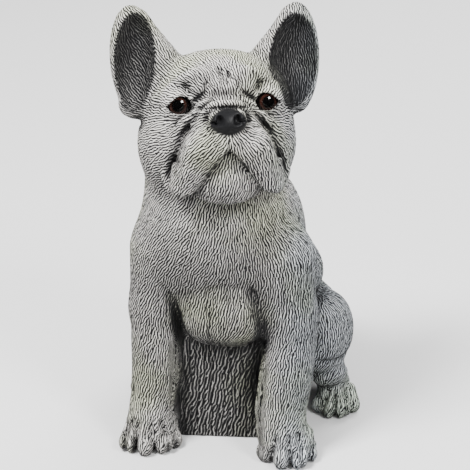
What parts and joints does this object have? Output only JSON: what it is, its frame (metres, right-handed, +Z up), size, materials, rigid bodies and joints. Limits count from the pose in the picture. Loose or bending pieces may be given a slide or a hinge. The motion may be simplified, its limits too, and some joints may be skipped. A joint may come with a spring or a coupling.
{
  "type": "dog garden statue",
  "caption": "Cast-stone garden statue of a seated French bulldog with upright ears, a folded muzzle, carved fur and brown glass eyes, looking up.",
  "frame": {"origin": "on the ground, under the middle of the statue's bounding box", "axes": "+Z up, -Y the way the forelegs and chest face, +X the dog's left; the head is turned 17 degrees towards +X and lifted 17 degrees"},
  "size_m": [0.2158, 0.2624, 0.386],
  "materials": {
    "cast_stone": null,
    "brown_glass": "polished dark brown glass eye"
  },
  "bodies": {
    "root": {"statue": "cast_stone", "eye_left": "brown_glass", "eye_right": "brown_glass"}
  },
  "joints": []
}
